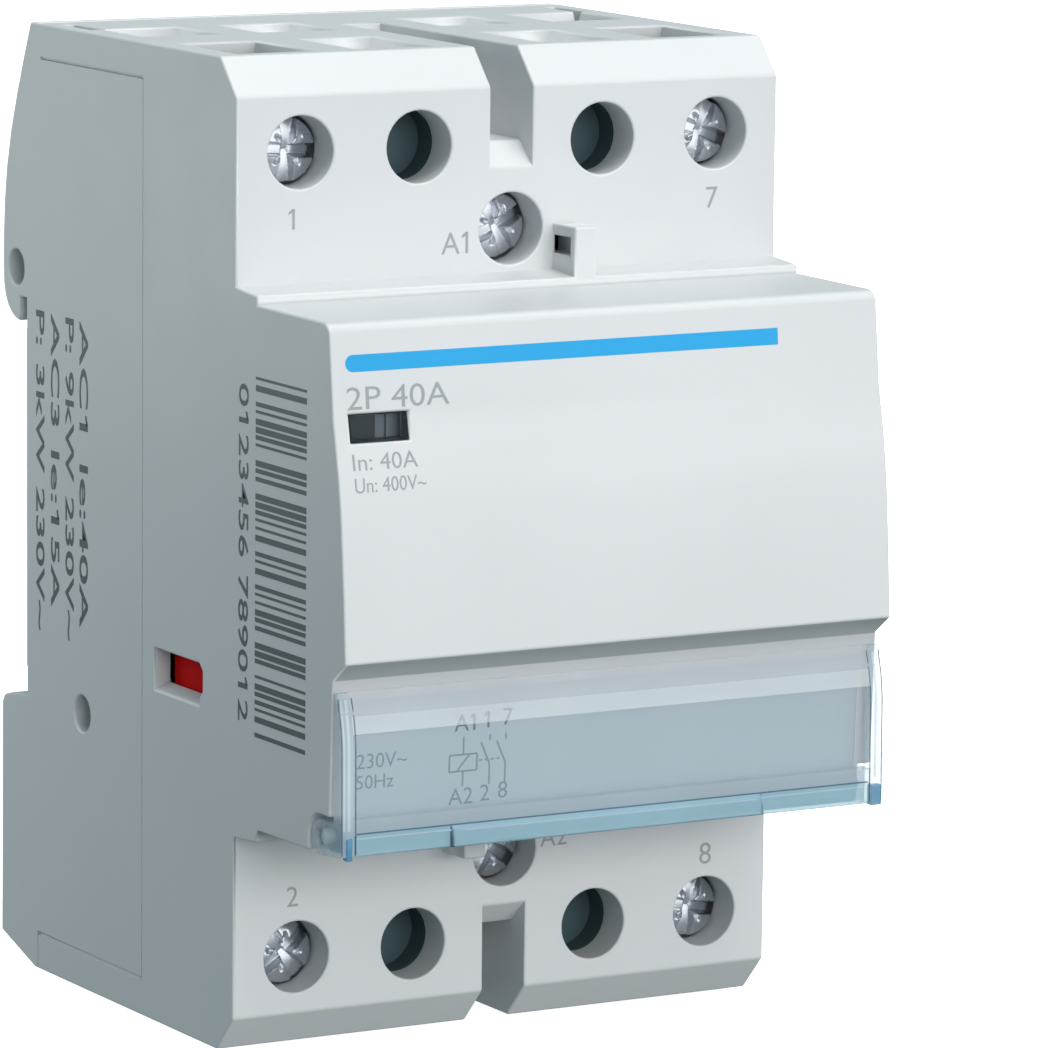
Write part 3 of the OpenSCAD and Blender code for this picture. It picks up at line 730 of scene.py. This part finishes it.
def add_prints(front):
    grey_ink = plastic("grey_ink", (0.30, 0.32, 0.34), 0.5, 0.02)
    dark_ink = plastic("dark_ink", (0.085, 0.105, 0.11), 0.5, 0.02)
    card_ink = plastic("card_ink", (0.18, 0.23, 0.27), 0.5, 0.02)
    blue_ink = plastic("blue_ink", (0.022, 0.33, 0.66), 0.4, 0.02, 0.97, 0.25)

    words = Ink(front)
    for text, corner, height in (("1", (-20.95, 27.8), 1.75), ("7", (19.25, 27.75), 1.85),
                                 ("2", (-21.15, -29.8), 1.75), ("8", (19.55, -29.95), 1.9),
                                 ("A1", (-6.75, 25.0), 1.85), ("A2", (3.5, -26.9), 1.6)):
        words.text(text, mm(*corner), height * MM, thin=0.002)
    words.text("2P 40A", mm(-24.9, 15.05), 1.85 * MM, 9.5 * MM, thin=0.002)
    words.text("In: 40A", mm(-24.8, 10.2), 1.33 * MM, 6.0 * MM, thin=0.002)
    words.text("Un: 400V~", mm(-24.75, 8.4), 1.2 * MM, 6.6 * MM, thin=0.002)
    words.piece("front_print", "housing", "housing_front", grey_ink)

    stripe = Ink(front)
    end_x, middle_z, radius = -24.2, 18.8, 0.7
    for i in range(6):
        a, b = math.pi / 2 * i / 6, math.pi / 2 * (i + 1) / 6
        left, right = end_x - radius * math.cos(a), end_x - radius * math.cos(b)
        low, high = radius * math.sin(a), radius * math.sin(b)
        stripe.strip([mm(left, middle_z - low), mm(right, middle_z - high),
                      mm(right, middle_z + high), mm(left, middle_z + low)])
    stripe.strip([mm(end_x, middle_z - radius), mm(16.3, middle_z - radius),
                  mm(16.3, middle_z + radius), mm(end_x, middle_z + radius)], 40)
    stripe.piece("blue_stripe", "housing", "housing_front", blue_ink)

    side = Ink(side_place)
    rows = 44
    pitch = 30.6 / rows
    for i in range(rows):
        if (i * 7) % 11 in (3, 8):
            continue
        thick = pitch * (0.34 + 0.2 * ((i * 5 + i // 3) % 3))
        top = 16.25 - i * pitch
        side.strip([mm(44.1, top - thick), mm(53.1, top - thick), mm(53.1, top), mm(44.1, top)])
    side.text("0123456 789012", mm(41.1, 15.4), 1.7 * MM, 28.5 * MM, turned=True, thin=-0.004)
    for column, text, length in ((10.9, "AC1 Ie:40A", 27), (8.1, "P: 9kW 230V~", 28.5),
                                 (5.2, "AC3 Ie:15A", 26), (2.2, "P: 3kW 230V~", 28.5)):
        side.text(text, mm(column, 17), 1.6 * MM, length * MM, turned=True, thin=-0.01)
    side.piece("side_print", "housing", "housing_front", dark_ink)

    card_place = front_place(surface_tree("label_card"))
    card = Ink(card_place)
    card.text("230V~", mm(-23.8, -14.7), 1.25 * MM, 4.7 * MM, thin=0.004)
    card.text("50Hz", mm(-23.8, -16.4), 1.15 * MM, 3.5 * MM, thin=0.004)
    for text, x, z in (("A2", -15.1, -18.5), ("2", -12.1, -18.4), ("8", -10.4, -18.3)):
        card.text(text, mm(x, z), 1.4 * MM, thin=0.004)
    card_top = Ink(card_place)
    for text, x, z in (("A1", -14.7, -12.3), ("1", -11.6, -12.2), ("7", -10.1, -12.1)):
        card_top.text(text, mm(x, z), 1.4 * MM)
    card_top.piece("card_print_top", "housing", "label", dark_ink)
    thin_line = 0.15 * MM
    card.outline([mm(-15.1, -15.7), mm(-12.5, -15.7), mm(-12.5, -14.3), mm(-15.1, -14.3),
                  mm(-15.1, -15.7)], thin_line)
    for start, end in (((-14.4, -15.7), (-13.2, -14.3)), ((-13.8, -14.3), (-13.8, -12.8)),
                       ((-13.8, -17), (-13.8, -15.7))):
        card.line(mm(*start), mm(*end), thin_line)
    for x in (-11.3, -9.8):
        card.line(mm(x, -13.3), mm(x, -12.8), thin_line)
        card.line(mm(x, -15.3), mm(x - 0.85, -13.4), thin_line)
        card.line(mm(x, -17), mm(x, -15.3), thin_line)
    for i in range(4):
        card.line(mm(-12.3 + i * 0.55, -14.9), mm(-12.0 + i * 0.55, -14.9), thin_line)
    card.piece("card_print", "housing", "label", card_ink)


# ---- Scene ----

add_camera()
add_world(0.14, 0.34, 0.38)
add_light("front", (0.02, -1.15, 0.26), (0, -0.03, 0), (0.95, 0.36), 7.6, (1.0, 0.965, 0.95), False)
add_light("panel", (0.24, -1.2, 0.24), (0, -0.03, 0), (1.7, 1.0), 5.5, (1.0, 0.965, 0.95))
add_light("above", (0.1, -0.26, 1.05), (0, -0.03, 0), (0.6, 0.5), 7.6, (1.0, 0.97, 0.955))
add_light("left_rear", (-0.12, 0.09, 0.04), (-0.026, -0.01, 0.01), (0.06, 0.1), 0.06)
add_floor(0.9)
SCENE.view_settings.view_transform = "Standard"

shell_plastic = plastic("shell_plastic", (0.578, 0.592, 0.61))
finishes = {
    "inner_frame": plastic("inner_frame_plastic", (0.045, 0.078, 0.09), 0.5),
    "label": plastic("card_paper", (0.41, 0.472, 0.52), 0.7, 0.05),
    "flag": plastic("flag_plastic", (0.05, 0.06, 0.07), 0.4),
    "pin_steel": metal("pin_steel", (0.6, 0.61, 0.63), 0.22),
    "spring_steel": metal("spring_steel", (0.55, 0.56, 0.6), 0.28, 0.2, 2600, (1, 1, 0.2)),
    "cushion_rubber": plastic("cushion_rubber", (0.018, 0.018, 0.018), 0.75, 0.35),
    "core_steel": banded_metal("core_sheets", (0.3, 0.32, 0.35), 0.38, 0.5 * MM, "X"),
    "ring_copper": metal("ring_copper", (0.72, 0.34, 0.2), 0.3),
    "bobbin": plastic("bobbin_plastic", (0.72, 0.68, 0.55), 0.4),
    "winding": banded_metal("wound_copper", (0.5, 0.17, 0.06), 0.32, 0.22 * MM, "Y", 0.7, 0.8),
    "lead_copper": metal("lead_copper", (0.62, 0.26, 0.12), 0.3),
    "armature_steel": banded_metal("armature_sheets", (0.33, 0.35, 0.38), 0.36, 0.5 * MM, "X"),
    "carrier": plastic("carrier_plastic", (0.62, 0.004, 0.005), 0.7, 0.1, 0.9, 0.05),
    "screw_zinc": metal("screw_zinc", (0.80, 0.81, 0.86), 0.27, 0.04, 1500, None, 0.92),
    "contact_copper": metal("contact_copper", (0.75, 0.4, 0.26), 0.25, 0.12, 1200, (1, 1, 0.15)),
    "strip_brass": metal("strip_brass", (0.68, 0.5, 0.2), 0.28, 0.12, 1200, (1, 1, 0.15)),
    "clamp_steel": metal("clamp_steel", (0.56, 0.58, 0.62), 0.3, 0.25, 1400),
}
silver = metal("contact_silver", (0.82, 0.82, 0.8), 0.3, 0.2)
slots = {part["node"]: part["material_slot"] for part in frame["record"]["subparts"]}
for node, obj in NODES.items():
    finish = finishes.get(slots[node])
    if not finish:
        continue
    had = len(obj.data.materials)
    obj.data.materials.clear()
    obj.data.materials.append(finish)
    if had > 1:
        obj.data.materials.append(silver if slots[node] == "contact_copper" else finish)



softened("front_housing", "front_shell", "housing",
         [shell_plastic, plastic("shaded_plastic", (0.33, 0.36, 0.372))], choose=under_nose)
softened("rear_base", "rear_shell", "housing", [shell_plastic])
softened("din_clip", "rail_clip", "clip",
         [plastic("clip_plastic", (0.035, 0.04, 0.045), 0.42)], 0.3)
add_cover()
add_window_lens()
add_flag_face()
add_screws(finishes["screw_zinc"])
add_prints(front_place(surface_tree("front_housing")))
